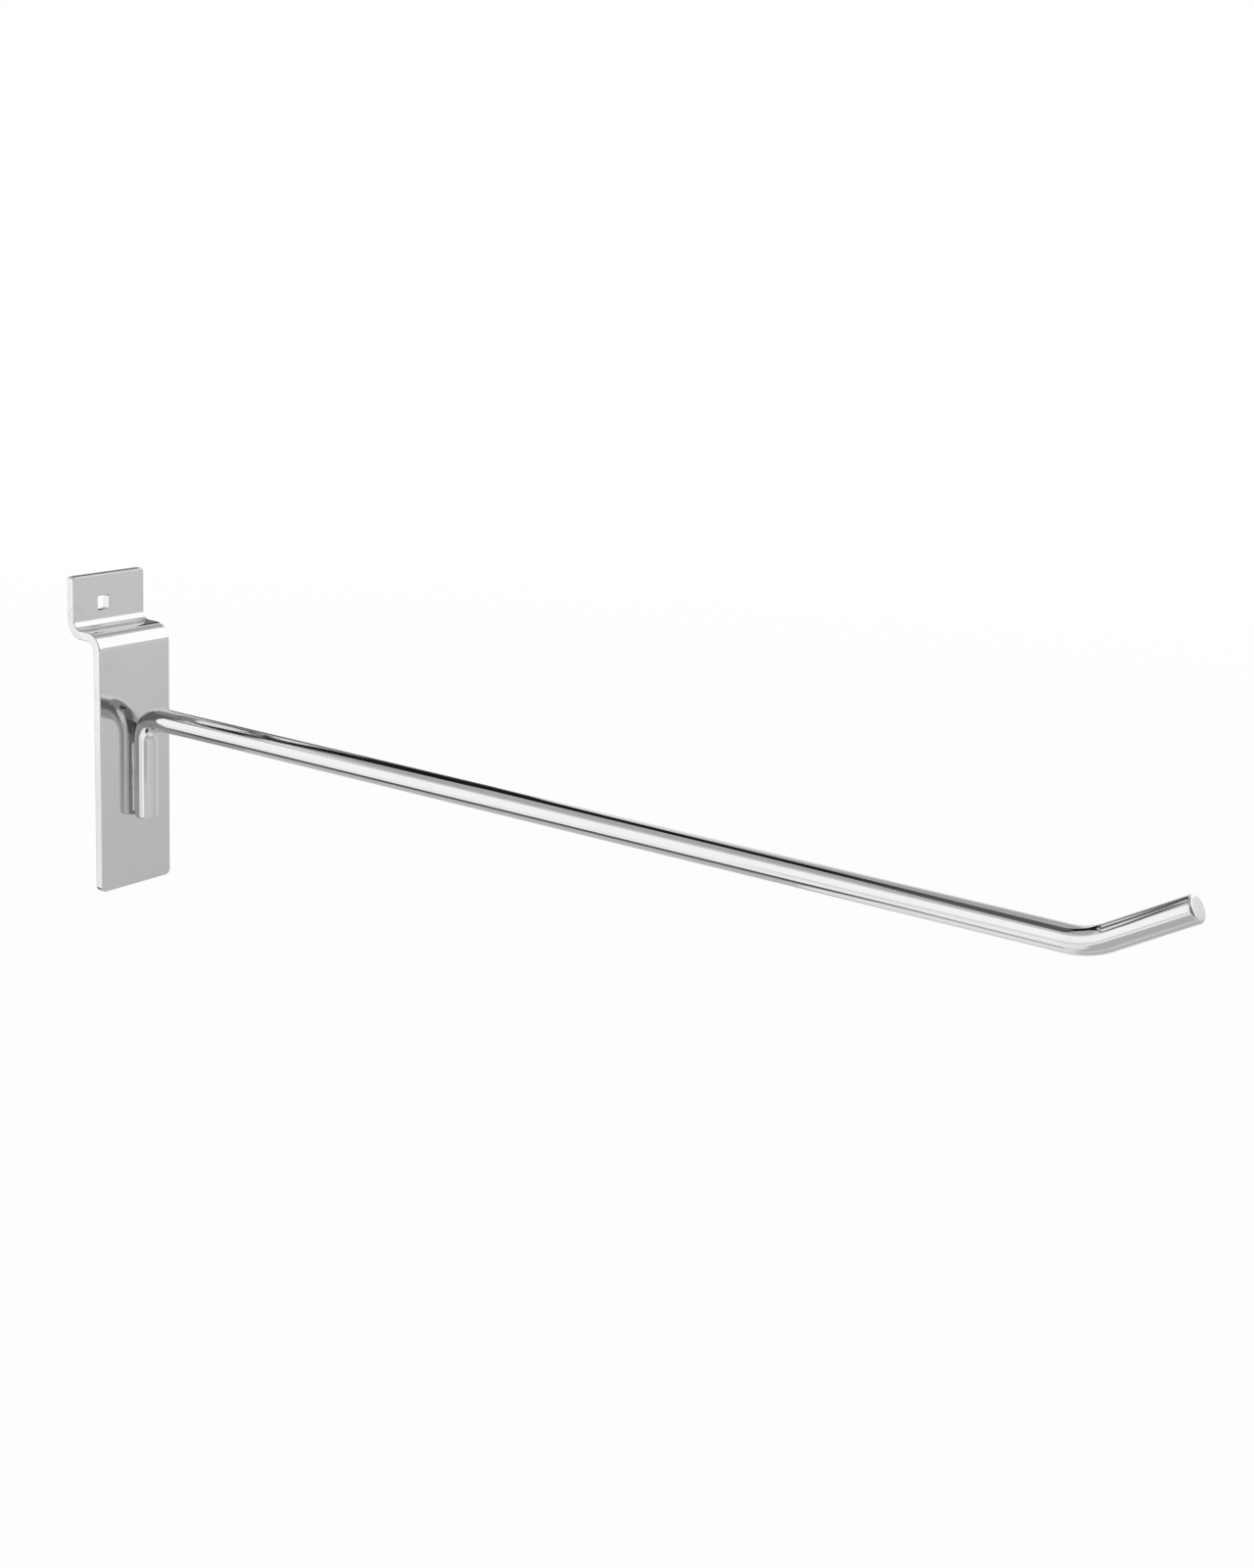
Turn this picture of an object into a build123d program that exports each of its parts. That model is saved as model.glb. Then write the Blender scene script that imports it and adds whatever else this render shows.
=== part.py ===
from build123d import *
from math import cos, radians, sin, sqrt
import os

# Slatwall hook, in millimetres. X runs across the plate, +Y into the panel and +Z up.
# The origin is on the middle line of the plate's back face, which lies on the panel, at the
# height of the prong's axis.

# Back plate: a flat strip folded into a Z
plate_width = 25.4
plate_thickness = 2.4
bend_radius = 2.4  # inside radius of both folds
prong_above_foot = 48.4  # plate's bottom edge to the prong's axis
ledge_above_foot = 69.85  # plate's bottom edge to the ledge's underside
tongue_rise = 16.6  # ledge's underside to the tongue's top edge
lip_gap = 7.6  # plate's back face to the tongue's front face, which takes the slat's lip
foot_corner_radius = 1.6
tongue_corner_radius = 0.8
plate_edge_break = 0.3

# Square hole punched in the tongue
hole_size = 4.0
hole_corner_radius = 0.5
hole_edge_break = 0.15
hole_below_top = 8.0  # tongue's top edge to the hole's centre
hole_offset = -2.0  # middle of the tongue to the hole's centre

# Prong: one round wire
wire_diameter = 6.35
prong_offset = 1.0  # middle of the plate to the prong's axis
reach = 304.8  # plate's front face to the foremost point of the tip, before its chamfer
leg_length = 28.6  # prong's axis to the cut end of the leg
root_bend_radius = 6.35  # at the wire's axis
tip_length = 25.4  # corner of the tip bend to the cut end, along the axis
tip_angle = 30.0
tip_bend_radius = 19.0  # at the wire's axis
wire_end_chamfer = 0.5

# Resistance weld between the leg and the plate
weld_set_down = 0.25  # depth to which the wire is forged flat
weld_fillet_radius = 0.3  # metal pressed out on both sides of the flat
weld_margin = 1.0  # plain wire left at each end of the weld

# Heights, from the prong's axis
foot_z = -prong_above_foot
ledge_z = ledge_above_foot - prong_above_foot
tongue_top_z = ledge_z + tongue_rise
hole_z = tongue_top_z - hole_below_top

# Places in depth
plate_front_y = -plate_thickness
tongue_back_y = lip_gap + plate_thickness

# The strip's back face turns in at the ledge and up again at the tongue. Its front lies one
# thickness away, so the radii of the folds follow.
with BuildPart() as back_plate:
    with BuildSketch(Plane.YZ) as strip_section:
        with BuildLine():
            FilletPolyline(
                (0, foot_z),
                (0, ledge_z),
                (tongue_back_y, ledge_z),
                (tongue_back_y, tongue_top_z),
                radius=[bend_radius, bend_radius + plate_thickness],
            )
            offset(amount=plate_thickness, side=Side.LEFT)
        make_face()
    extrude(amount=plate_width / 2, both=True)

    corners = back_plate.edges().filter_by(Axis.Y).group_by(Axis.Z)
    fillet(corners[0], foot_corner_radius)
    fillet(corners[-1], tongue_corner_radius)

    # Every sheared edge is broken. The lines where the flats run into the folds are no edges.
    fold_lines = back_plate.edges().filter_by(Axis.X).filter_by_position(
        Axis.Z, ledge_z - bend_radius, ledge_z + plate_thickness + bend_radius
    )
    sheared = back_plate.edges().filter_by(Axis.Y, reverse=True) - fold_lines
    fillet(sheared, plate_edge_break)

    with BuildSketch(Plane.XZ.offset(-lip_gap)) as punch:
        with Locations((hole_offset, hole_z)):
            RectangleRounded(hole_size, hole_size, hole_corner_radius)
    extrude(amount=-plate_thickness, mode=Mode.SUBTRACT)
    punched = back_plate.edges(Select.LAST).filter_by(Axis.Y, reverse=True)
    fillet(punched, hole_edge_break)
back_plate.part.label = "back_plate"

# The leg's axis stands one wire radius off the plate, less the set-down of the weld.
wire_radius = wire_diameter / 2
axis_above_plate = wire_radius - weld_set_down
leg_y = plate_front_y - axis_above_plate

# The lower edge of the cut end is the foremost point of the tip.
tip_end_y = plate_front_y - reach + wire_radius * sin(radians(tip_angle))
tip_end_z = tip_length * sin(radians(tip_angle))
tip_corner_y = tip_end_y + tip_length * cos(radians(tip_angle))

# Metal pressed out by the weld: its fillet touches the plate's face and the wire's round side.
fillet_reach = wire_radius + weld_fillet_radius
fillet_rise = axis_above_plate - weld_fillet_radius
plate_touch_x = sqrt(fillet_reach**2 - fillet_rise**2)
wire_touch_x = plate_touch_x * wire_radius / fillet_reach
wire_touch_y = fillet_rise * wire_radius / fillet_reach
weld_length = leg_length - root_bend_radius - 2 * weld_margin

leg_foot = Plane((prong_offset, leg_y, -leg_length))
with BuildPart() as prong:
    with BuildLine(Plane.YZ.offset(prong_offset)) as wire_axis:
        FilletPolyline(
            (leg_y, -leg_length),
            (leg_y, 0),
            (tip_corner_y, 0),
            (tip_end_y, tip_end_z),
            radius=[root_bend_radius, tip_bend_radius],
        )
    with BuildSketch(leg_foot) as wire_section:
        Circle(wire_radius)
    sweep()
    cut_ends = prong.faces().filter_by(GeomType.PLANE).edges()
    chamfer(cut_ends, wire_end_chamfer)

    # The leg is forged flat against the plate's front face.
    split(bisect_by=Plane.XZ.offset(-plate_front_y), keep=Keep.TOP)

    with BuildSketch(leg_foot.offset(weld_margin)) as pressed_out:
        with BuildLine():
            Line((0, axis_above_plate), (plate_touch_x, axis_above_plate))
            RadiusArc(
                (plate_touch_x, axis_above_plate), (wire_touch_x, wire_touch_y), -weld_fillet_radius
            )
            Line((wire_touch_x, wire_touch_y), (0, 0))
            mirror(about=Plane.YZ)
        make_face()
    extrude(amount=weld_length)
prong.part.label = "prong"

os.makedirs("parts", exist_ok=True)
export_step(back_plate.part, "parts/back_plate.step")
export_step(prong.part, "parts/prong.step")
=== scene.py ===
from math import atan2, cos, pi, radians, sin, sqrt

import bmesh
import bpy
from bpy.props import FloatProperty, FloatVectorProperty, IntProperty, PointerProperty
from mathutils import Matrix, Vector, noise


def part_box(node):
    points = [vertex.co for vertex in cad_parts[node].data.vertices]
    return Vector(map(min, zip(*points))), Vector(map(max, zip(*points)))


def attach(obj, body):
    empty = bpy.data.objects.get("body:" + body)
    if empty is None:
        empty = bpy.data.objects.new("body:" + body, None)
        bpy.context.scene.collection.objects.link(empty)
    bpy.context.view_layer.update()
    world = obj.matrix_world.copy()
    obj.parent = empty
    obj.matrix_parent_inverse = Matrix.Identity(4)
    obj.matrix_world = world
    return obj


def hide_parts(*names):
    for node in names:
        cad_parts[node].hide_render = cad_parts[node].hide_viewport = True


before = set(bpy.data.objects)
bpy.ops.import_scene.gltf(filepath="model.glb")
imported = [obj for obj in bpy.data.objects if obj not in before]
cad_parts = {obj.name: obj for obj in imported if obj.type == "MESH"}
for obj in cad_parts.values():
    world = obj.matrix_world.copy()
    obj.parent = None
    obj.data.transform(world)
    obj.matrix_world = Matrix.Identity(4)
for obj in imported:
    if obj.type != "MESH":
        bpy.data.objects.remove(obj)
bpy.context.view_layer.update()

bl_info = {
    "name": "Slatwall Hook",
    "version": (1, 0, 0),
    "blender": (4, 5, 0),
    "location": "View3D > Sidebar > Slatwall Hook",
    "description": "Builds a chrome slatwall hook from a folded strip and a bent wire",
    "category": "Add Mesh",
}

MM = 0.001
PLATE_LOW, PLATE_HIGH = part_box("back_plate")
PRONG_LOW, PRONG_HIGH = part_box("prong")

# Attributes that the meshes carry
FLAT_STRIP = "flat_strip"  # place on the strip before it is folded
STRAIGHT_WIRE = "straight_wire"  # place on the wire before it is bent
SHEARED = "sheared"  # the faces that the shear and the punch cut
CARD_TONE = "card_tone"

# Kinds of node socket
NUMBER = "NodeSocketFloat"
WHOLE_NUMBER = "NodeSocketInt"
VECTOR = "NodeSocketVector"
GEOMETRY = "NodeSocketGeometry"

WHITE = (1, 1, 1, 1)


# Sizes and colours


def length_setting(name, description, default):
    return FloatProperty(
        name=name, description=description, default=default, min=0, unit="LENGTH", precision=5
    )


def offset_setting(name, description, default):
    """A length that may be negative."""
    return FloatProperty(name=name, description=description, default=default, unit="LENGTH", precision=5)


def angle_setting(name, description, degrees):
    return FloatProperty(
        name=name, description=description, default=radians(degrees), subtype="ANGLE"
    )


def share_setting(name, description, default):
    return FloatProperty(
        name=name, description=description, default=default, min=0, max=1, subtype="FACTOR"
    )


def colour_setting(name, description, default):
    return FloatVectorProperty(
        name=name, description=description, default=default, subtype="COLOR", size=3, min=0, max=1
    )


class HookPlateSettings(bpy.types.PropertyGroup):
    """Sizes of the folded back plate"""

    width: length_setting("Width", "Width of the flat strip", PLATE_HIGH.x - PLATE_LOW.x)
    thickness: length_setting("Thickness", "Thickness of the strip", 2.4 * MM)
    fold_radius: length_setting("Fold Radius", "Inside radius of both folds", 2.4 * MM)
    foot: length_setting("Foot", "Depth of the bottom edge below the prong's axis", -PLATE_LOW.z)
    ledge: length_setting("Ledge", "Height of the ledge's underside above the prong's axis", 21.45 * MM)
    top: length_setting("Top", "Height of the tongue's top edge above the prong's axis", PLATE_HIGH.z)
    depth: length_setting("Depth", "Depth of the tongue's back face behind the panel's face", PLATE_HIGH.y)
    foot_corner: length_setting("Foot Corner", "Radius of the two bottom corners", 1.6 * MM)
    tongue_corner: length_setting("Tongue Corner", "Radius of the tongue's two top corners", 0.8 * MM)
    edge_break: length_setting("Edge Break", "Radius of the broken sheared edges", 0.3 * MM)
    hole: length_setting("Hole", "Side of the square hole in the tongue", 4.0 * MM)
    hole_corner: length_setting("Hole Corner", "Radius of the hole's corners", 0.5 * MM)
    hole_break: length_setting("Hole Edge Break", "Radius of the hole's broken edges", 0.15 * MM)
    hole_drop: length_setting("Hole Drop", "Tongue's top edge to the hole's centre", 8.0 * MM)
    hole_offset: offset_setting("Hole Offset", "Middle of the tongue to the hole's centre", -2.0 * MM)


class HookProngSettings(bpy.types.PropertyGroup):
    """Sizes of the bent wire and of the weld at its root"""

    diameter: length_setting("Wire Diameter", "Diameter of the wire", PRONG_HIGH.x - PRONG_LOW.x)
    offset: offset_setting(
        "Offset", "Middle of the plate to the prong's axis", (PRONG_HIGH.x + PRONG_LOW.x) / 2
    )
    reach: length_setting("Reach", "Plate's front face to the foremost point of the tip", 304.8 * MM)
    leg: length_setting("Leg", "Prong's axis to the cut end of the leg", -PRONG_LOW.z)
    root_radius: length_setting("Root Bend Radius", "Radius of the root bend, at the wire's axis", 6.35 * MM)
    tip: length_setting("Tip Length", "Corner of the tip bend to the cut end", 25.4 * MM)
    tip_radius: length_setting("Tip Bend Radius", "Radius of the tip bend, at the wire's axis", 19.0 * MM)
    tip_angle: angle_setting("Tip Angle", "Angle by which the tip is turned up", 30)
    end_break: length_setting("End Break", "Rounding round both cut ends", 0.7 * MM)
    set_down: length_setting("Set-down", "Depth to which the weld presses the leg flat", 0.25 * MM)
    bead: length_setting("Weld Fillet", "Radius of the metal pressed out beside the leg", 0.3 * MM)
    bead_margin: length_setting("Weld Margin", "Plain wire left at each end of the weld", 1.0 * MM)
    sides: IntProperty(
        name="Sides", description="Facets round the wire", default=80, min=12, max=256
    )


class HookFinishSettings(bpy.types.PropertyGroup):
    """Colour and polish of the chrome plating"""

    chrome: colour_setting("Chrome", "Colour that the plating reflects", (0.55, 0.55, 0.548))
    worn_chrome: colour_setting(
        "Thin Chrome", "Colour where the plating is thin or hazy", (0.50, 0.50, 0.495)
    )
    polish: share_setting("Polish Roughness", "Roughness of the clean plating", 0.04)
    haze: share_setting("Haze Roughness", "Roughness of hazy patches", 0.13)


class HookStageSettings(bpy.types.PropertyGroup):
    """Camera, floor and lights"""

    camera_place: FloatVectorProperty(
        name="Camera",
        description="Place of the camera",
        default=(-0.41418, -0.45087, 0.14429),
        subtype="TRANSLATION",
        unit="LENGTH",
        size=3,
        precision=5,
    )
    camera_heading: angle_setting("Heading", "Direction of view, from +Y towards +X", 55.57)
    camera_dip: angle_setting("Dip", "Angle of the view below the horizon", 14.77)
    camera_roll: angle_setting("Roll", "Turn of the camera about its view", 2.86)
    focal_length: FloatProperty(
        name="Focal Length", description="Lens of the camera", default=51.22, min=1, unit="CAMERA"
    )
    floor_drop: length_setting("Floor Drop", "Depth of the floor below the prong's axis", 0.35)
    world_level: FloatProperty(
        name="World Level", description="Strength of the light from all round", default=1.0, min=0
    )


# Node helpers


def add_node(tree, kind, *values, named=None, **settings):
    """Adds a node. Values go to its inputs in turn or by name: a socket is linked, a constant set."""
    node = tree.nodes.new(kind)
    for name, setting in settings.items():
        setattr(node, name, setting)
    for socket, value in zip(node.inputs, values):
        plug(tree, socket, value)
    for name, value in (named or {}).items():
        plug(tree, node.inputs[name], value)
    return node


def plug(tree, socket, value):
    if isinstance(value, Formula):
        value = value.socket
    if isinstance(value, bpy.types.NodeSocket):
        tree.links.new(value, socket)
    elif value is not None:
        socket.default_value = value


class Formula:
    """A number in a node tree. Arithmetic on it adds Math nodes."""

    def __init__(self, tree, socket):
        self.tree = tree
        self.socket = socket

    def math(self, operation, *others):
        node = add_node(self.tree, "ShaderNodeMath", self, *others, operation=operation)
        return Formula(self.tree, node.outputs[0])

    def __add__(self, other):
        return self.math("ADD", other)

    def __sub__(self, other):
        return self.math("SUBTRACT", other)

    def __mul__(self, other):
        return self.math("MULTIPLY", other)

    def __truediv__(self, other):
        return self.math("DIVIDE", other)

    def __neg__(self):
        return self.math("MULTIPLY", -1.0)

    def sin(self):
        return self.math("SINE")

    def cos(self):
        return self.math("COSINE")

    def at_least(self, low):
        return self.math("MAXIMUM", low)

    def at_most(self, high):
        return self.math("MINIMUM", high)


def empty_tree(owner):
    """The node tree of a new material or world, with nothing in it."""
    owner.use_nodes = True
    owner.node_tree.nodes.clear()
    return owner.node_tree


def new_group(kind, name, inputs, outputs):
    """Makes a node group with named sockets. Returns it with its input and output nodes."""
    tree = bpy.data.node_groups.new(name, kind)
    for label, (socket_type, default) in inputs.items():
        socket = tree.interface.new_socket(label, in_out="INPUT", socket_type=socket_type)
        if default is not None:
            socket.default_value = default
    for label, socket_type in outputs.items():
        tree.interface.new_socket(label, in_out="OUTPUT", socket_type=socket_type)
    return tree, tree.nodes.new("NodeGroupInput"), tree.nodes.new("NodeGroupOutput")


def new_geometry_tree(name, sizes):
    """Makes a Geometry Nodes tree that takes a geometry and an input for each size."""
    inputs = {"Geometry": (GEOMETRY, None)}
    for label, size in sizes.items():
        inputs[label] = (WHOLE_NUMBER if isinstance(size, int) else NUMBER, size)
    return new_group("GeometryNodeTree", name, inputs, {"Geometry": GEOMETRY})


def given_numbers(tree, group_input):
    return {s.name: Formula(tree, s) for s in group_input.outputs if s.type == "VALUE"}


def combine(tree, x, y, z):
    return add_node(tree, "ShaderNodeCombineXYZ", x, y, z).outputs[0]


def separate(tree, vector):
    node = add_node(tree, "ShaderNodeSeparateXYZ", vector)
    return [Formula(tree, s) for s in node.outputs]


def noise_pattern(tree, vector, scale, **more):
    node = add_node(
        tree,
        "ShaderNodeTexNoise",
        noise_dimensions="3D",
        named={"Vector": vector, "Scale": scale, **more},
    )
    return Formula(tree, node.outputs[0])


def point_place(tree):
    return add_node(tree, "GeometryNodeInputPosition").outputs[0]


def move_points(tree, geometry, place):
    node = add_node(tree, "GeometryNodeSetPosition", named={"Geometry": geometry, "Position": place})
    return node.outputs[0]


def store_vector(tree, geometry, name, vector):
    """Keeps a vector at each point, where a material can read it."""
    node = add_node(
        tree,
        "GeometryNodeStoreNamedAttribute",
        data_type="FLOAT_VECTOR",
        domain="POINT",
        named={"Geometry": geometry, "Name": name, "Value": vector},
    )
    return node.outputs[0]


def carry_along(tree, geometry, kind, name, value):
    """Captures a value on a curve before it is swept. Returns the curve and the value."""
    node = add_node(tree, "GeometryNodeCaptureAttribute")
    node.capture_items.new(kind, name)
    plug(tree, node.inputs["Geometry"], geometry)
    plug(tree, node.inputs[name], value)
    return node.outputs["Geometry"], node.outputs[name]


def pick_by_index(tree, kind, values):
    """Gives the first point the first value, the second point the second one, and so on."""
    switch = add_node(tree, "GeometryNodeIndexSwitch", data_type=kind)
    while len(switch.index_switch_items) < len(values):
        switch.index_switch_items.new()
    plug(tree, switch.inputs["Index"], add_node(tree, "GeometryNodeInputIndex").outputs[0])
    for place, value in enumerate(values):
        plug(tree, switch.inputs[str(place)], value)
    return switch.outputs[0]


def set_finish(tree, geometry, material, where=None):
    """Gives a finish to all the faces, or to those where a selection holds."""
    node = add_node(
        tree,
        "GeometryNodeSetMaterial",
        named={"Geometry": geometry, "Selection": where, "Material": material},
    )
    return node.outputs[0]


# Finishes


# Shares by which haze and drawing lines turn the plating's colour towards thin chrome
HAZE_TINT = 0.6
STREAK_TINT = 0.3


def drawing_lines_group():
    """Fine lines along Z, as rolls and drawing dies leave them."""
    tree, given, out = new_group(
        "ShaderNodeTree",
        "Drawing lines",
        {
            "Vector": (VECTOR, None),
            "Lines per Metre": (NUMBER, 4000.0),
            "Stretch": (NUMBER, 80.0),
            "Depth": (NUMBER, 1e-6),
        },
        {"Height": NUMBER, "Mask": NUMBER},
    )
    number = given_numbers(tree, given)
    x, y, z = separate(tree, given.outputs["Vector"])
    fineness = number["Lines per Metre"]
    drawn_out = combine(tree, x * fineness, y * fineness, z * fineness / number["Stretch"])
    mask = noise_pattern(tree, drawn_out, 1.0, Detail=3.0, Roughness=0.65)
    plug(tree, out.inputs["Mask"], mask)
    plug(tree, out.inputs["Height"], mask * number["Depth"])


def waviness_group():
    """The slow waviness of polished steel, which bends its mirror images."""
    tree, given, out = new_group(
        "ShaderNodeTree",
        "Polish waviness",
        {
            "Vector": (VECTOR, None),
            "Waves per Metre": (NUMBER, 120.0),
            "Depth": (NUMBER, 2e-6),
        },
        {"Height": NUMBER},
    )
    number = given_numbers(tree, given)
    waves = noise_pattern(tree, given.outputs["Vector"], number["Waves per Metre"], Detail=1.0)
    plug(tree, out.inputs["Height"], waves * number["Depth"])


def haze_group():
    """Cloudy patches where plating is thinner or has been handled."""
    tree, given, out = new_group(
        "ShaderNodeTree",
        "Plating haze",
        {
            "Vector": (VECTOR, None),
            "Patches per Metre": (NUMBER, 90.0),
            "From": (NUMBER, 0.45),
            "To": (NUMBER, 0.75),
        },
        {"Haze": NUMBER},
    )
    number = given_numbers(tree, given)
    clouds = noise_pattern(
        tree,
        given.outputs["Vector"],
        number["Patches per Metre"],
        Detail=5.0,
        Roughness=0.6,
        Distortion=0.4,
    )
    ramp = add_node(
        tree,
        "ShaderNodeMapRange",
        interpolation_type="SMOOTHSTEP",
        named={"Value": clouds, "From Min": number["From"], "From Max": number["To"]},
    )
    plug(tree, out.inputs["Haze"], ramp.outputs[0])


FINISH_GROUPS = {
    "Drawing lines": drawing_lines_group,
    "Polish waviness": waviness_group,
    "Plating haze": haze_group,
}


def place_group(tree, name, vector, values):
    """Places a shared node group in a material, with its own values. Its first use builds it."""
    if name not in bpy.data.node_groups:
        FINISH_GROUPS[name]()
    group = bpy.data.node_groups[name]
    return add_node(tree, "ShaderNodeGroup", node_tree=group, named={"Vector": vector, **values})


def chrome_material(name, pattern, lines, waves, haze, rough):
    """Chrome plating. Its pattern is read from an attribute, or from Object coordinates."""
    settings = bpy.context.scene.hook_finish
    material = bpy.data.materials.new(name)
    tree = empty_tree(material)
    if pattern:
        source = add_node(tree, "ShaderNodeAttribute", attribute_type="GEOMETRY", attribute_name=pattern)
        vector = source.outputs["Vector"]
    else:
        vector = add_node(tree, "ShaderNodeTexCoord").outputs["Object"]

    line_node = place_group(tree, "Drawing lines", vector, lines)
    wave_node = place_group(tree, "Polish waviness", vector, waves)
    haze_node = place_group(tree, "Plating haze", vector, haze)
    streaks = Formula(tree, line_node.outputs["Mask"])
    clouds = Formula(tree, haze_node.outputs["Haze"])

    tone = add_node(
        tree,
        "ShaderNodeMix",
        data_type="RGBA",
        named={
            "Factor": (clouds * HAZE_TINT + streaks * STREAK_TINT).at_most(1.0),
            "A": (*settings.chrome, 1),
            "B": (*settings.worn_chrome, 1),
        },
    )
    height = Formula(tree, line_node.outputs["Height"]) + wave_node.outputs["Height"]
    bump = add_node(tree, "ShaderNodeBump", named={"Strength": 1.0, "Distance": 1.0, "Height": height})
    shader = add_node(
        tree,
        "ShaderNodeBsdfPrincipled",
        named={
            "Metallic": 1.0,
            "Base Color": tone.outputs["Result"],
            "Roughness": clouds * (settings.haze - settings.polish) + settings.polish + streaks * rough,
            "Normal": bump.outputs[0],
        },
    )
    add_node(tree, "ShaderNodeOutputMaterial", shader.outputs[0])
    return material


def strip_finish():
    return chrome_material(
        "Chrome on rolled strip",
        FLAT_STRIP,
        lines={"Lines per Metre": 5200.0, "Stretch": 60.0, "Depth": 0.5e-6},
        waves={"Waves per Metre": 130.0, "Depth": 6e-6},
        haze={"Patches per Metre": 95.0, "From": 0.45, "To": 0.8},
        rough=0.05,
    )


def sheared_edge_finish():
    return chrome_material(
        "Chrome on sheared edge",
        FLAT_STRIP,
        lines={"Lines per Metre": 1600.0, "Stretch": 0.5, "Depth": 0.4e-6},
        waves={"Waves per Metre": 250.0, "Depth": 1.5e-6},
        haze={"Patches per Metre": 300.0, "From": 0.45, "To": 0.75},
        rough=0.1,
    )


def wire_finish():
    return chrome_material(
        "Chrome on drawn wire",
        STRAIGHT_WIRE,
        lines={"Lines per Metre": 4200.0, "Stretch": 120.0, "Depth": 0.5e-6},
        waves={"Waves per Metre": 60.0, "Depth": 4e-6},
        haze={"Patches per Metre": 120.0, "From": 0.5, "To": 0.8},
        rough=0.04,
    )


def cut_end_finish():
    return chrome_material(
        "Chrome on cut end",
        None,
        lines={"Lines per Metre": 2500.0, "Stretch": 12.0, "Depth": 6e-6},
        waves={"Waves per Metre": 400.0, "Depth": 12e-6},
        haze={"Patches per Metre": 500.0, "From": 0.4, "To": 0.7},
        rough=0.2,
    )


def weld_finish():
    return chrome_material(
        "Chrome on weld",
        None,
        lines={"Lines per Metre": 1200.0, "Stretch": 3.0, "Depth": 0.6e-6},
        waves={"Waves per Metre": 500.0, "Depth": 2e-6},
        haze={"Patches per Metre": 500.0, "From": 0.35, "To": 0.65},
        rough=0.12,
    )


# Mesh helpers


def new_object(name, mesh):
    piece = bpy.data.objects.new(name, mesh)
    bpy.context.scene.collection.objects.link(piece)
    return piece


def mesh_from_bmesh(bm, name):
    mesh = bpy.data.meshes.new(name)
    bm.to_mesh(mesh)
    bm.free()
    return mesh


def smooth_solid(bm, name):
    """A mesh of closed shapes, with all faces turned outwards and shaded smooth."""
    bmesh.ops.recalc_face_normals(bm, faces=bm.faces[:])
    for face in bm.faces:
        face.smooth = True
    return mesh_from_bmesh(bm, name)


def skin_loops(bm, loops):
    """Joins closed loops of points into a wall. Returns its rows of corners and bands of faces."""
    rows = [[bm.verts.new(point) for point in loop] for loop in loops]
    bands = []
    for row, above in zip(rows, rows[1:]):
        sides = zip(row, row[1:] + row[:1], above[1:] + above[:1], above)
        bands.append([bm.faces.new(corners) for corners in sides])
    return rows, bands


def add_tree(piece, tree, values):
    """Adds a Geometry Nodes modifier and sets its inputs by their sockets' identifiers."""
    modifier = piece.modifiers.new(tree.name, "NODES")
    modifier.node_group = tree
    for item in tree.interface.items_tree:
        if item.item_type == "SOCKET" and item.in_out == "INPUT" and item.name in values:
            modifier[item.identifier] = values[item.name]


def make_plain(piece):
    """Turns a piece and its modifiers into a plain mesh."""
    bpy.context.view_layer.update()
    graph = bpy.context.evaluated_depsgraph_get()
    mesh = bpy.data.meshes.new_from_object(
        piece.evaluated_get(graph), preserve_all_data_layers=True, depsgraph=graph
    )
    if not mesh.polygons:
        raise RuntimeError(f"{piece.name}: the modifiers left no faces")
    raw = piece.data
    piece.modifiers.clear()
    piece.data = mesh
    bpy.data.meshes.remove(raw)
    mesh.name = piece.name


def true_normals(mesh):
    """Lets the largest faces set the shading at their corners, so flats mirror as flats."""
    normals = [Vector() for _ in mesh.vertices]
    for face in mesh.polygons:
        weight = (face.area / MM**2) ** 2
        for corner in face.vertices:
            normals[corner] += face.normal * weight
    mesh.normals_split_custom_set_from_vertices([normal.normalized() for normal in normals])


# Back plate


EDGE_STEPS = 5
CORNER_STEPS = 8
HOLE_EDGE_STEPS = 3
HOLE_CORNER_STEPS = 6
FOLD_STEPS = 18
CUT_TOLERANCE = 1e-8


def rounded_rectangle(low, high, radii, steps):
    """Points anticlockwise round a rectangle. Radii start at the lower left corner."""
    corners = (
        (low[0], low[1], 1, 1, pi),
        (high[0], low[1], -1, 1, 1.5 * pi),
        (high[0], high[1], -1, -1, 0.0),
        (low[0], high[1], 1, -1, 0.5 * pi),
    )
    points = []
    for (x, z, inward_x, inward_z, start), radius in zip(corners, radii):
        centre = (x + inward_x * radius, z + inward_z * radius)
        for i in range(steps + 1):
            turn = start + 0.5 * pi * i / steps
            points.append((centre[0] + radius * cos(turn), centre[1] + radius * sin(turn)))
    return points


def broken_edge(thickness, radius, steps):
    """Pairs of inset and depth, from the back face round both broken edges to the front face."""
    turns = [0.5 * pi * i / steps for i in range(steps + 1)]
    back = [(radius * (1 - sin(turn)), radius * (1 - cos(turn))) for turn in turns]
    front = [(inset, thickness - depth) for inset, depth in reversed(back)]
    return back + front


def edge_loops(low, high, radii, corner_steps, edge, outward):
    """Loops of a broken edge round a rectangle. Its insets go in (-1), or out from a hole (1)."""
    loops = []
    for inset, depth in edge:
        grow = inset * outward
        points = rounded_rectangle(
            [place - grow for place in low],
            [place + grow for place in high],
            [radius + grow for radius in radii],
            corner_steps,
        )
        loops.append([(x, -depth, z) for x, z in points])
    return loops


def rim_edges(bm, row):
    return [bm.edges.get((row[i - 1], row[i])) for i in range(len(row))]


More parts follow.
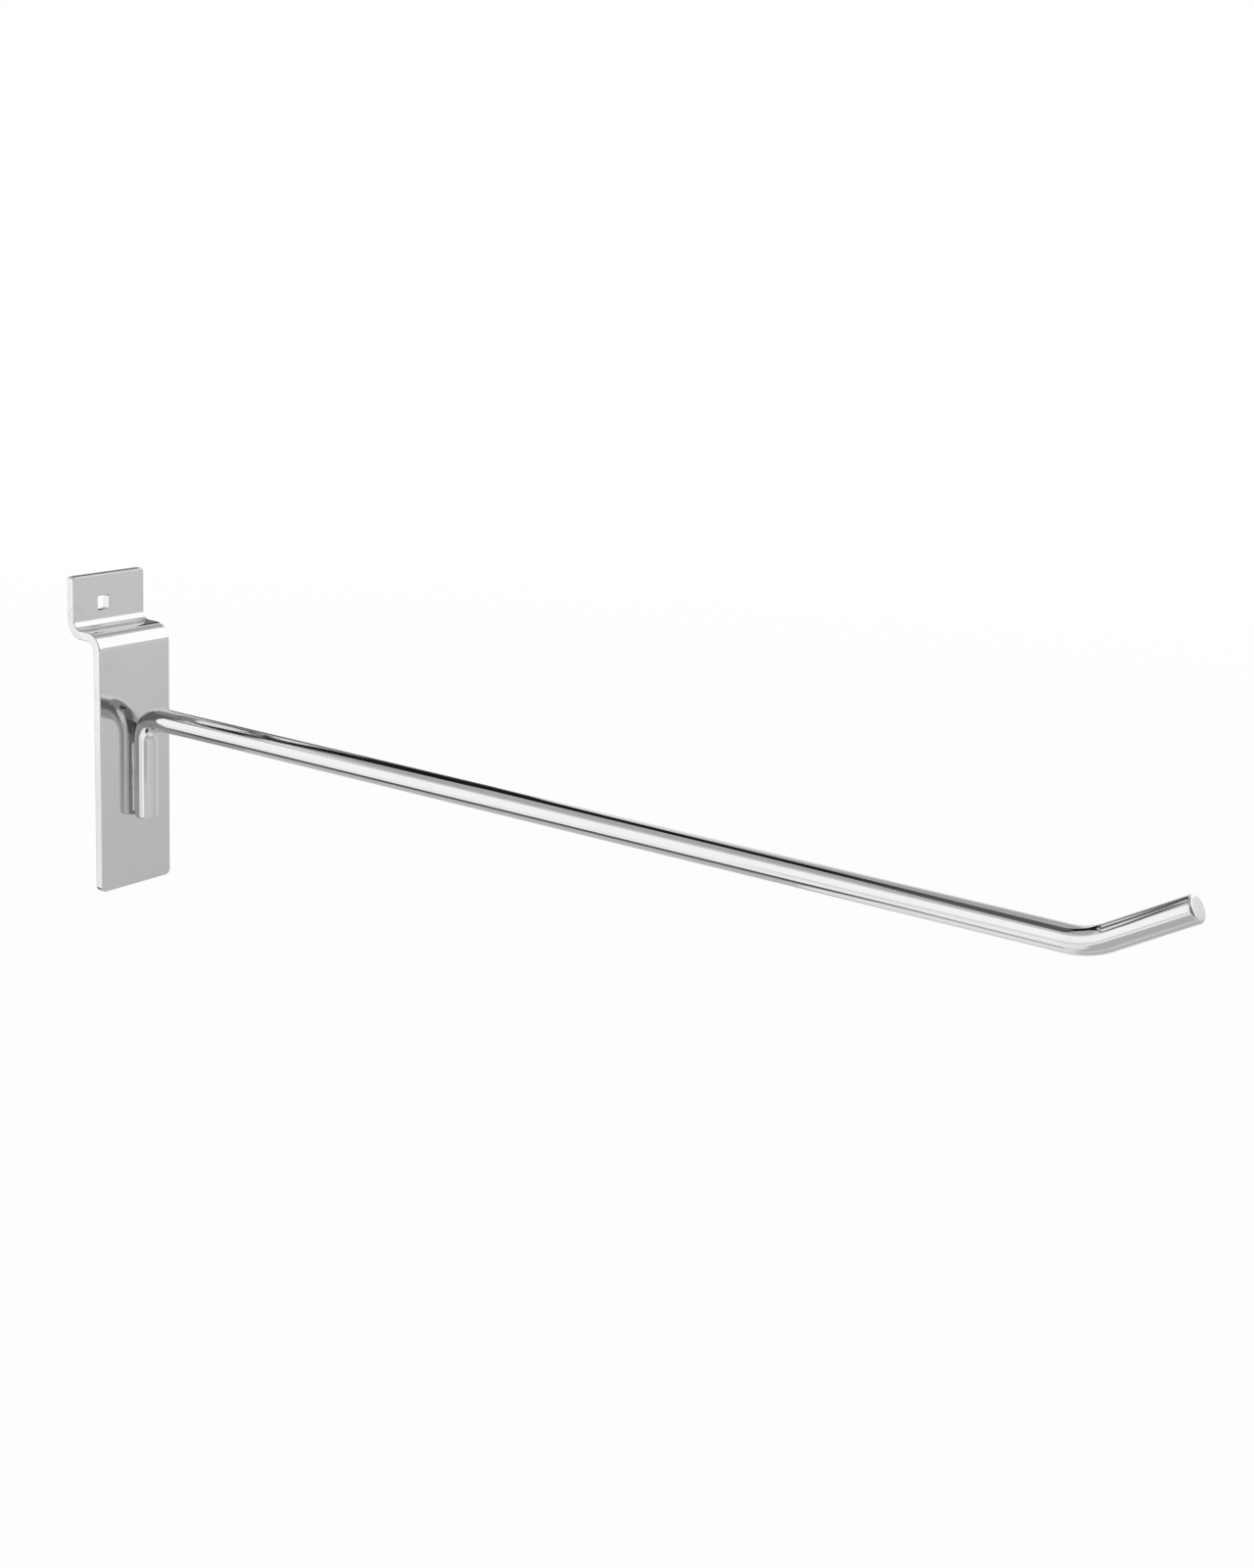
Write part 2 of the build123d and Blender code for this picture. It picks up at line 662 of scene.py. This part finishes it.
def plate_blank(plate, folds):
    """The strip before folding: cut to shape, punched and with its edges broken."""
    half = plate.width / 2
    top = folds["Tongue Start"] + plate.top - (plate.ledge + plate.thickness + plate.fold_radius)
    outline = edge_loops(
        (-half, -plate.foot),
        (half, top),
        [plate.foot_corner] * 2 + [plate.tongue_corner] * 2,
        CORNER_STEPS,
        broken_edge(plate.thickness, plate.edge_break, EDGE_STEPS),
        outward=-1,
    )
    hole_middle = (plate.hole_offset, top - plate.hole_drop)
    hole = edge_loops(
        [place - plate.hole / 2 for place in hole_middle],
        [place + plate.hole / 2 for place in hole_middle],
        [plate.hole_corner] * 4,
        HOLE_CORNER_STEPS,
        broken_edge(plate.thickness, plate.hole_break, HOLE_EDGE_STEPS),
        outward=1,
    )

    bm = bmesh.new()
    sheared = bm.faces.layers.bool.new(SHEARED)
    walls = []
    for loops in (outline, hole):
        rows, bands = skin_loops(bm, loops)
        for face in bands[len(bands) // 2]:
            face[sheared] = True
        walls.append(rows)
    for end in (0, -1):
        rims = [edge for rows in walls for edge in rim_edges(bm, rows[end])]
        bmesh.ops.triangle_fill(bm, use_beauty=True, use_dissolve=False, edges=rims)

    for start in (folds["Lower Fold"], folds["Upper Fold"]):
        for i in range(FOLD_STEPS + 1):
            height = start + folds["Arc Length"] * i / FOLD_STEPS
            bmesh.ops.bisect_plane(
                bm,
                geom=bm.verts[:] + bm.edges[:] + bm.faces[:],
                dist=CUT_TOLERANCE,
                plane_co=(0, 0, height),
                plane_no=(0, 0, 1),
            )
    return smooth_solid(bm, "plate_blank")


def fold_strip_tree(folds, strip, edge):
    """Folds a flat strip into a Z: a turn back at the ledge, and a turn up at the tongue."""
    tree, given, out = new_geometry_tree("Fold strip", folds)
    number = given_numbers(tree, given)
    place = point_place(tree)
    marked = store_vector(tree, given.outputs["Geometry"], FLAT_STRIP, place)

    x, y, along = separate(tree, place)
    height = -y
    inner = number["Fold Radius"]
    outer = inner + number["Thickness"]
    arc = number["Arc Length"]
    lower, upper = number["Lower Fold"], number["Upper Fold"]
    middle_radius = arc * (2 / pi)
    first = ((along - lower) / middle_radius).at_least(0.0).at_most(pi / 2)
    second = ((along - upper) / middle_radius).at_least(0.0).at_most(pi / 2)
    ledge = (along - lower - arc).at_least(0.0).at_most(upper - lower - arc)
    tongue = (along - number["Tongue Start"]).at_least(0.0)
    folded_y = inner - (inner + height) * first.cos() + ledge + (outer - height) * second.sin()
    rise = (outer - height) - (outer - height) * second.cos()
    folded_z = along.at_most(lower) + (inner + height) * first.sin() + rise + tongue
    folded = move_points(tree, marked, combine(tree, x, folded_y, folded_z))

    real = add_node(tree, "GeometryNodeRealizeInstances", folded)
    plated = set_finish(tree, real.outputs[0], strip)
    is_sheared = add_node(tree, "GeometryNodeInputNamedAttribute", SHEARED, data_type="BOOLEAN")
    plated = set_finish(tree, plated, edge, where=is_sheared.outputs[0])
    plug(tree, out.inputs["Geometry"], plated)
    return tree


class HOOK_OT_fold_plate(bpy.types.Operator):
    """Cut, punch and fold the back plate"""

    bl_idname = "hook.fold_plate"
    bl_label = "Fold Back Plate"

    def execute(self, context):
        plate = context.scene.hook_plate
        arc = (plate.fold_radius + plate.thickness / 2) * pi / 2
        lower = plate.ledge - plate.fold_radius
        ledge = plate.depth - 2 * plate.fold_radius - plate.thickness
        folds = {
            "Fold Radius": plate.fold_radius,
            "Thickness": plate.thickness,
            "Arc Length": arc,
            "Lower Fold": lower,
            "Upper Fold": lower + arc + ledge,
            "Tongue Start": lower + 2 * arc + ledge,
        }
        piece = new_object("folded_back_plate", plate_blank(plate, folds))
        add_tree(piece, fold_strip_tree(folds, strip_finish(), sheared_edge_finish()), folds)
        make_plain(piece)
        true_normals(piece.data)
        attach(piece, "root")
        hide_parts("back_plate")
        return {"FINISHED"}


# Prong


BEND_STEPS = 24
SIDE_CORNERS = 8  # only the cut ends have faces with more corners than this


def bend_wire_tree(sizes, finish):
    """Bends a wire: leg up the plate, root bend forward, straight run, and tip turned up."""
    tree, given, out = new_geometry_tree("Bend wire", sizes)
    number = given_numbers(tree, given)
    radius = number["Wire Diameter"] * 0.5
    side = number["Offset"]
    face_y = -number["Plate Thickness"]
    leg_y = face_y - radius + number["Set-down"]
    angle = number["Tip Angle"]
    end_y = face_y - number["Reach"] + radius * angle.sin()
    corner_y = end_y + number["Tip Length"] * angle.cos()
    end_z = number["Tip Length"] * angle.sin()
    corners = [
        combine(tree, side, leg_y, -number["Leg"]),
        combine(tree, side, leg_y, 0.0),
        combine(tree, side, corner_y, 0.0),
        combine(tree, side, end_y, end_z),
    ]
    bends = [0.0, number["Root Bend Radius"], number["Tip Bend Radius"], 0.0]

    line = add_node(tree, "GeometryNodeMeshLine", mode="OFFSET", named={"Count": len(corners)})
    laid_out = move_points(tree, line.outputs[0], pick_by_index(tree, "VECTOR", corners))
    angular = add_node(tree, "GeometryNodeMeshToCurve", laid_out)
    bent = add_node(
        tree,
        "GeometryNodeFilletCurve",
        mode="POLY",
        named={
            "Curve": angular.outputs[0],
            "Count": BEND_STEPS,
            "Radius": pick_by_index(tree, "FLOAT", bends),
        },
    )
    run = add_node(tree, "GeometryNodeSplineParameter").outputs["Length"]
    path, length = carry_along(tree, bent.outputs[0], "FLOAT", "Length", run)

    circle = add_node(
        tree,
        "GeometryNodeCurvePrimitiveCircle",
        mode="RADIUS",
        named={"Resolution": given.outputs["Sides"], "Radius": radius},
    )
    section, section_place = carry_along(
        tree, circle.outputs["Curve"], "VECTOR", "Section", point_place(tree)
    )
    wire = add_node(
        tree,
        "GeometryNodeCurveToMesh",
        named={"Curve": path, "Profile Curve": section, "Fill Caps": True},
    )
    section_x, section_y, _ = separate(tree, section_place)
    unbent = combine(tree, section_x, section_y, length)
    marked = store_vector(tree, wire.outputs[0], STRAIGHT_WIRE, unbent)

    x, y, z = separate(tree, point_place(tree))
    pressed = move_points(tree, marked, combine(tree, x, y.at_most(face_y), z))
    smooth = add_node(tree, "GeometryNodeSetShadeSmooth", pressed)
    real = add_node(tree, "GeometryNodeRealizeInstances", smooth.outputs[0])
    plug(tree, out.inputs["Geometry"], set_finish(tree, real.outputs[0], finish))
    return tree


class HOOK_OT_bend_prong(bpy.types.Operator):
    """Bend the prong from one wire"""

    bl_idname = "hook.bend_prong"
    bl_label = "Bend Prong"

    def execute(self, context):
        prong = context.scene.hook_prong
        plate = context.scene.hook_plate
        piece = new_object("bent_prong", bpy.data.meshes.new("prong_wire"))
        sizes = {
            "Wire Diameter": prong.diameter,
            "Sides": prong.sides,
            "Offset": prong.offset,
            "Plate Thickness": plate.thickness,
            "Set-down": prong.set_down,
            "Leg": prong.leg,
            "Root Bend Radius": prong.root_radius,
            "Reach": prong.reach,
            "Tip Length": prong.tip,
            "Tip Angle": prong.tip_angle,
            "Tip Bend Radius": prong.tip_radius,
        }
        add_tree(piece, bend_wire_tree(sizes, wire_finish()), sizes)
        broken = piece.modifiers.new("Broken ends", "BEVEL")
        broken.limit_method = "ANGLE"
        broken.angle_limit = radians(60)
        broken.width = prong.end_break
        broken.segments = 5
        broken.profile = 0.45
        make_plain(piece)
        true_normals(piece.data)
        piece.data.materials.append(cut_end_finish())
        cut_ends = [face for face in piece.data.polygons if len(face.vertices) > SIDE_CORNERS]
        if len(cut_ends) != 2:
            raise RuntimeError(f"the wire has {len(cut_ends)} cut ends, not 2")
        for face in cut_ends:
            face.material_index = len(piece.data.materials) - 1
        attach(piece, "root")
        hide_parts("prong")
        return {"FINISHED"}


# Weld


WELD_SECTIONS = 90
BEAD_STEPS = 6
FADE_LENGTH = 1.2 * MM  # over which the metal thins out at both ends of the weld
SWELL_LENGTH = 3.5 * MM  # about as long as one swelling
SWELL_SHARE = 0.2
SIDES_APART = 7.0  # keeps the swellings of the two sides unlike
THINNEST_BEAD = 0.004 * MM
SEAM_INSIDE = 0.9 * MM  # the seam's hidden edge on the plate, from the middle of the leg
SEAM_DEPTH = 0.8  # its hidden edge in the wire, as a share of the wire's radius


def bead_radius(prong, side, run, length):
    """Radius of the pressed-out metal at a place along the weld."""
    swell = 1 + SWELL_SHARE * noise.noise(Vector((side * SIDES_APART, 0.0, run / SWELL_LENGTH)))
    inward = min(1.0, max(0.0, min(run, length - run) / FADE_LENGTH))
    return max(prong.bead * swell * sqrt(inward * (2 - inward)), THINNEST_BEAD)


def bead_section(wire_radius, axis_height, bead):
    """A section of one seam, from the leg's axis: across it, and towards the plate."""
    reach = wire_radius + bead
    drop = axis_height - bead
    foot = sqrt(reach**2 - drop**2)
    touch = (foot * wire_radius / reach, drop * wire_radius / reach)
    points = [(SEAM_INSIDE, axis_height), (foot, axis_height)]
    start = pi / 2
    end = pi + atan2(drop, foot)
    for i in range(1, BEAD_STEPS):
        turn = start + (end - start) * i / BEAD_STEPS
        points.append((foot + bead * cos(turn), drop + bead * sin(turn)))
    points.append(touch)
    points.append((touch[0] * SEAM_DEPTH, touch[1] * SEAM_DEPTH))
    return points


class HOOK_OT_weld_leg(bpy.types.Operator):
    """Press the weld metal out on both sides of the leg"""

    bl_idname = "hook.weld_leg"
    bl_label = "Weld Leg"

    def execute(self, context):
        prong = context.scene.hook_prong
        plate = context.scene.hook_plate
        wire_radius = prong.diameter / 2
        axis_height = wire_radius - prong.set_down
        axis_y = -plate.thickness - axis_height
        low = -prong.leg + prong.bead_margin
        length = prong.leg - prong.root_radius - 2 * prong.bead_margin
        bm = bmesh.new()
        for side in (-1, 1):
            sections = []
            for i in range(WELD_SECTIONS + 1):
                run = length * i / WELD_SECTIONS
                bead = bead_radius(prong, side, run, length)
                points = bead_section(wire_radius, axis_height, bead)
                sections.append(
                    [(prong.offset + side * across, axis_y + y, low + run) for across, y in points]
                )
            rows, _ = skin_loops(bm, sections)
            bm.faces.new(rows[0])
            bm.faces.new(rows[-1])
        mesh = smooth_solid(bm, "weld_seam")
        mesh.set_sharp_from_angle(angle=radians(50))
        mesh.materials.append(weld_finish())
        piece = new_object("weld_seam", mesh)
        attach(piece, "root")
        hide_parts("prong")
        return {"FINISHED"}


# Stage


FLOOR_COLOUR = (0.95, 0.95, 0.95, 1)
FLOOR_RADIUS = 12.0
FLOOR_SIDES = 64
CARD_LIFT = 0.004  # height of the floor cards above the floor
BLACK = 0.015  # tone of a black card


def card_material():
    """Glows with the tone that is kept at each card's corners."""
    made = bpy.data.materials.get("Card")
    if made:
        return made
    material = bpy.data.materials.new("Card")
    tree = empty_tree(material)
    tone = add_node(tree, "ShaderNodeAttribute", attribute_type="GEOMETRY", attribute_name=CARD_TONE)
    glow = add_node(tree, "ShaderNodeEmission", WHITE, tone.outputs["Fac"])
    add_node(tree, "ShaderNodeOutputMaterial", glow.outputs[0])
    return material


def card(name, tones, *rows):
    """A card hung between rows of two corners, seen only in the metal.

    It has one tone, or runs from tone to tone.
    """
    if isinstance(tones, (int, float)):
        tones = [tones] * len(rows)
    bm = bmesh.new()
    tone_layer = bm.verts.layers.float.new(CARD_TONE)
    pairs = []
    for tone, row in zip(tones, rows):
        pairs.append([bm.verts.new(corner) for corner in row])
        for corner in pairs[-1]:
            corner[tone_layer] = tone
    for (a, b), (d, c) in zip(pairs, pairs[1:]):
        bm.faces.new((a, b, c, d))
    piece = new_object(name, mesh_from_bmesh(bm, name))
    piece.data.materials.append(card_material())
    piece.visible_camera = False
    piece.visible_diffuse = False
    piece.visible_shadow = False


def strip_card(name, tones, height, *rows):
    """A level card that winds through rows of two corners."""
    card(name, tones, *([(x, y, height) for x, y in row] for row in rows))


def level_card(name, tone, height, left, right, front, back):
    """A level card with square corners."""
    strip_card(name, tone, height, ((left, front), (right, front)), ((left, back), (right, back)))


def upright_card(name, tones, heights, *corners):
    """An upright card between two corners. Its tones follow its heights."""
    card(name, tones, *([(x, y, z) for x, y in corners] for z in heights))


def hang_overhead_flags():
    """Flags over the wire, which mirrors them as the dark lines along its top.

    The lower of two level cards hides the upper one, so cards that meet hang a millimetre apart.
    """
    strip_card(
        "overhead_flag", (0.18, 0.15, BLACK, BLACK, BLACK, BLACK), 0.6,
        ((-0.50, -0.06), (0.02, -0.10)),
        ((-0.30, 0.03), (0.14, 0.02)),
        ((-0.10, 0.08), (0.23, 0.10)),
        ((0.00, 0.16), (0.34, 0.21)),
        ((0.03, 0.24), (0.45, 0.32)),
        ((0.12, 0.34), (0.86, 0.60)),
    )
    strip_card(
        "overhead_flag_end", BLACK, 0.601,
        ((0.06, 0.32), (-0.02, 0.47)),
        ((0.35, 0.41), (0.27, 0.51)),
        ((0.58, 0.49), (0.48, 0.60)),
        ((0.86, 0.59), (0.86, 0.78)),
        ((1.40, 0.95), (1.40, 1.20)),
    )
    strip_card(
        "overhead_flag_edge", BLACK, 0.603,
        ((-0.02, 0.47), (-0.02, 0.50)),
        ((0.10, 0.49), (0.10, 0.517)),
        ((0.28, 0.54), (0.28, 0.565)),
        ((0.36, 0.58), (0.36, 0.614)),
        ((0.49, 0.655), (0.49, 0.70)),
    )
    strip_card(
        "overhead_line", BLACK, 0.602,
        ((-0.02, 0.43), (0.00, 0.48)),
        ((-0.24, 0.54), (-0.22, 0.60)),
        ((-0.47, 0.64), (-0.46, 0.69)),
    )
    strip_card(
        "tip_flag", 0.25, 0.755,
        ((-0.12, 0.76), (-0.12, 0.97)),
        ((0.34, 0.77), (0.34, 0.94)),
        ((0.42, 0.78), (0.42, 0.86)),
        ((0.62, 0.80), (0.62, 0.885)),
    )
    strip_card(
        "tip_flag_line", 0.10, 0.90,
        ((-0.60, 1.11), (-0.60, 1.17)),
        ((-0.80, 1.18), (-0.80, 1.26)),
        ((-1.00, 1.26), (-1.00, 1.36)),
        ((-1.32, 1.42), (-1.32, 1.55)),
    )
    strip_card("far_flag", 0.35, 0.755, ((0.85, 0.94), (0.85, 1.14)), ((1.40, 1.12), (1.40, 1.40)))
    strip_card("far_flag_edge", BLACK, 0.748, ((0.58, 0.80), (0.58, 0.865)), ((0.78, 0.93), (0.78, 1.01)))
    strip_card("side_flag", 0.65, 0.599, ((0.20, 0.02), (0.38, 0.25)), ((1.30, 0.02), (1.30, 0.33)))


def hang_ceiling_cards():
    """Pale cards above the flags, and a card behind the hook that darkens towards the horizon."""
    level_card("ceiling_card", 0.69, 0.75, left=-0.56, right=0.60, front=-0.80, back=0.66)
    level_card("rear_ceiling_card", 1.3, 0.76, left=-0.56, right=1.60, front=0.66, back=1.60)
    upright_card(
        "rear_horizon_card", (0.03, 0.03, 0.25, 0.25), (-0.05, 0.20, 0.22, 0.45),
        (0.92, 0.55), (0.60, 0.90),
    )


def lay_floor_cards(floor_drop):
    """Cards on the floor, for the underside of the wire and the lower part of the plate."""
    low = CARD_LIFT - floor_drop
    level_card("left_floor_glow", 1.5, low, left=-0.65, right=-0.31, front=-0.35, back=0.80)
    strip_card(
        "left_floor_strip", (0.75, 0.6, 0.18, 0.18), low + MM,
        ((-0.17, -0.15), (-0.10, -0.15)),
        ((-0.28, -0.05), (-0.18, -0.05)),
        ((-0.31, -0.03), (-0.13, -0.03)),
        ((-0.38, 0.80), (-0.13, 0.80)),
    )
    level_card("tip_floor_glow", 1.3, low, left=-0.31, right=0.10, front=-0.19, back=-0.03)
    strip_card(
        "tip_floor_card", (0.72, 0.76, 1.05, 0.76, 0.80), low,
        *(((x, -0.60), (x, -0.19)) for x in (-0.31, -0.12, -0.03, 0.05, 0.30)),
    )
    upright_card("tip_side_card", 0.75, (-0.345, -0.155), (-0.30, -0.40), (-0.30, -0.18))
    level_card("rear_floor_card", 0.80, low - MM, left=-0.90, right=0.80, front=-0.03, back=1.80)
    strip_card(
        "front_floor_card", (0.78, 0.97, 1.0), low - MM,
        *(((0.10, y), (2.40, y)) for y in (-0.35, -1.45, -2.60)),
    )


def stand_side_cards():
    """Upright cards left of the hook and behind the camera."""
    upright_card("leg_card", (1.25, 1.25, 1.60), (-0.27, -0.12, -0.07), (-0.64, -0.14), (-0.64, 0.17))
    upright_card("grazing_card", 0.10, (-0.22, 0.10), (-0.90, -0.24), (-0.90, -0.06))
    upright_card("camera_side_card", 0.70, (-0.34, -0.05), (-1.05, -0.62), (-0.70, -1.05))
    upright_card("camera_side_flag", 0.36, (-0.05, 1.00), (-1.15, -0.45), (0.15, -1.30))


def softbox(name, centre, aim, width, height, radiance):
    """A rectangular lamp seen only in the metal, which mirrors it on top of the white behind it."""
    data = bpy.data.lights.new(name, "AREA")
    data.shape = "RECTANGLE"
    data.size = width
    data.size_y = height
    data.energy = radiance * pi * width * height
    lamp = bpy.data.objects.new(name, data)
    away = Vector(aim) - Vector(centre)
    lamp.matrix_world = Matrix.Translation(centre) @ away.to_track_quat("-Z", "Y").to_matrix().to_4x4()
    bpy.context.scene.collection.objects.link(lamp)
    lamp.visible_camera = False
    lamp.visible_diffuse = False


def seen_directly(tree):
    """1 for rays from the camera, a mirror or glass, 0 for light that falls on things."""
    path = add_node(tree, "ShaderNodeLightPath")
    rays = Formula(tree, path.outputs["Is Camera Ray"])
    rays = rays.at_least(path.outputs["Is Glossy Ray"])
    return rays.at_least(path.outputs["Is Transmission Ray"])


def white_world(level):
    """White all round to look at, and a light of the given level from everywhere."""
    world = bpy.data.worlds.new("White studio")
    bpy.context.scene.world = world
    tree = empty_tree(world)
    light = add_node(tree, "ShaderNodeBackground", WHITE, level)
    backdrop = add_node(tree, "ShaderNodeBackground", WHITE, 1.0)
    mix = add_node(tree, "ShaderNodeMixShader", seen_directly(tree), light.outputs[0], backdrop.outputs[0])
    add_node(tree, "ShaderNodeOutputWorld", mix.outputs[0])


def pale_floor(drop):
    """A pale floor that keeps the hook's shadow and runs out into the white all round."""
    bm = bmesh.new()
    bmesh.ops.create_circle(bm, cap_ends=True, segments=FLOOR_SIDES, radius=FLOOR_RADIUS)
    bm.transform(Matrix.Translation((0, 0, -drop)))
    floor = new_object("floor", mesh_from_bmesh(bm, "floor"))
    material = bpy.data.materials.new("Pale floor")
    tree = empty_tree(material)
    lit = add_node(tree, "ShaderNodeBsdfDiffuse", FLOOR_COLOUR)
    white = add_node(tree, "ShaderNodeEmission", WHITE, 1.0)
    place = add_node(tree, "ShaderNodeTexCoord").outputs["Object"]
    distance = add_node(tree, "ShaderNodeVectorMath", place, operation="LENGTH").outputs["Value"]
    whitening = add_node(
        tree,
        "ShaderNodeMapRange",
        interpolation_type="SMOOTHSTEP",
        named={"Value": distance, "From Min": 0.6, "From Max": 3.0, "To Min": 0.6, "To Max": 1.0},
    )
    share = seen_directly(tree) * whitening.outputs[0]
    mix = add_node(tree, "ShaderNodeMixShader", share, lit.outputs[0], white.outputs[0])
    add_node(tree, "ShaderNodeOutputMaterial", mix.outputs[0])
    floor.data.materials.append(material)


def set_camera(stage):
    data = bpy.data.cameras.new("camera")
    data.lens = stage.focal_length
    data.sensor_width = 36
    data.clip_start = 0.01
    data.clip_end = 60
    camera = bpy.data.objects.new("camera", data)
    camera.matrix_world = (
        Matrix.Translation(stage.camera_place)
        @ Matrix.Rotation(-stage.camera_heading, 4, "Z")
        @ Matrix.Rotation(pi / 2 - stage.camera_dip, 4, "X")
        @ Matrix.Rotation(stage.camera_roll, 4, "Z")
    )
    bpy.context.scene.collection.objects.link(camera)
    bpy.context.scene.camera = camera


class HOOK_OT_set_stage(bpy.types.Operator):
    """Set up the floor, the lights and the camera"""

    bl_idname = "hook.set_stage"
    bl_label = "Set Stage"

    def execute(self, context):
        stage = context.scene.hook_stage
        white_world(stage.world_level)
        pale_floor(stage.floor_drop)
        softbox(
            "left_softbox", centre=(-0.65, 0.245, 0.095), aim=(0, 0.245, 0.095),
            width=1.07, height=0.89, radiance=0.63,
        )
        softbox(
            "right_softbox", centre=(1.435, -1.005, 0.985), aim=(0, 0, 0.02),
            width=2.8, height=1.548, radiance=0.82,
        )
        hang_overhead_flags()
        hang_ceiling_cards()
        lay_floor_cards(stage.floor_drop)
        stand_side_cards()
        set_camera(stage)
        context.scene.view_settings.view_transform = "Standard"
        return {"FINISHED"}


# Panel and registration


PANEL_ROWS = (
    ("hook_plate", ("hook.fold_plate",)),
    ("hook_prong", ("hook.bend_prong", "hook.weld_leg")),
    ("hook_finish", ()),
    ("hook_stage", ("hook.set_stage",)),
)


class HOOK_PT_panel(bpy.types.Panel):
    """Sizes and steps of the slatwall hook"""

    bl_label = "Slatwall Hook"
    bl_idname = "HOOK_PT_panel"
    bl_space_type = "VIEW_3D"
    bl_region_type = "UI"
    bl_category = "Slatwall Hook"

    def draw(self, context):
        layout = self.layout
        for group, steps in PANEL_ROWS:
            settings = getattr(context.scene, group)
            box = layout.box()
            for name in settings.bl_rna.properties.keys():
                if name not in ("rna_type", "name"):
                    box.prop(settings, name)
            for step in steps:
                box.operator(step)


SETTINGS = {
    "hook_plate": HookPlateSettings,
    "hook_prong": HookProngSettings,
    "hook_finish": HookFinishSettings,
    "hook_stage": HookStageSettings,
}
CLASSES = (
    *SETTINGS.values(),
    HOOK_OT_fold_plate,
    HOOK_OT_bend_prong,
    HOOK_OT_weld_leg,
    HOOK_OT_set_stage,
    HOOK_PT_panel,
)


def register():
    for made in CLASSES:
        bpy.utils.register_class(made)
    for name, settings in SETTINGS.items():
        setattr(bpy.types.Scene, name, PointerProperty(type=settings))


def unregister():
    for name in SETTINGS:
        delattr(bpy.types.Scene, name)
    for made in reversed(CLASSES):
        bpy.utils.unregister_class(made)


def main():
    register()
    bpy.ops.hook.fold_plate()
    bpy.ops.hook.bend_prong()
    bpy.ops.hook.weld_leg()
    bpy.ops.hook.set_stage()


if __name__ == "__main__":
    main()
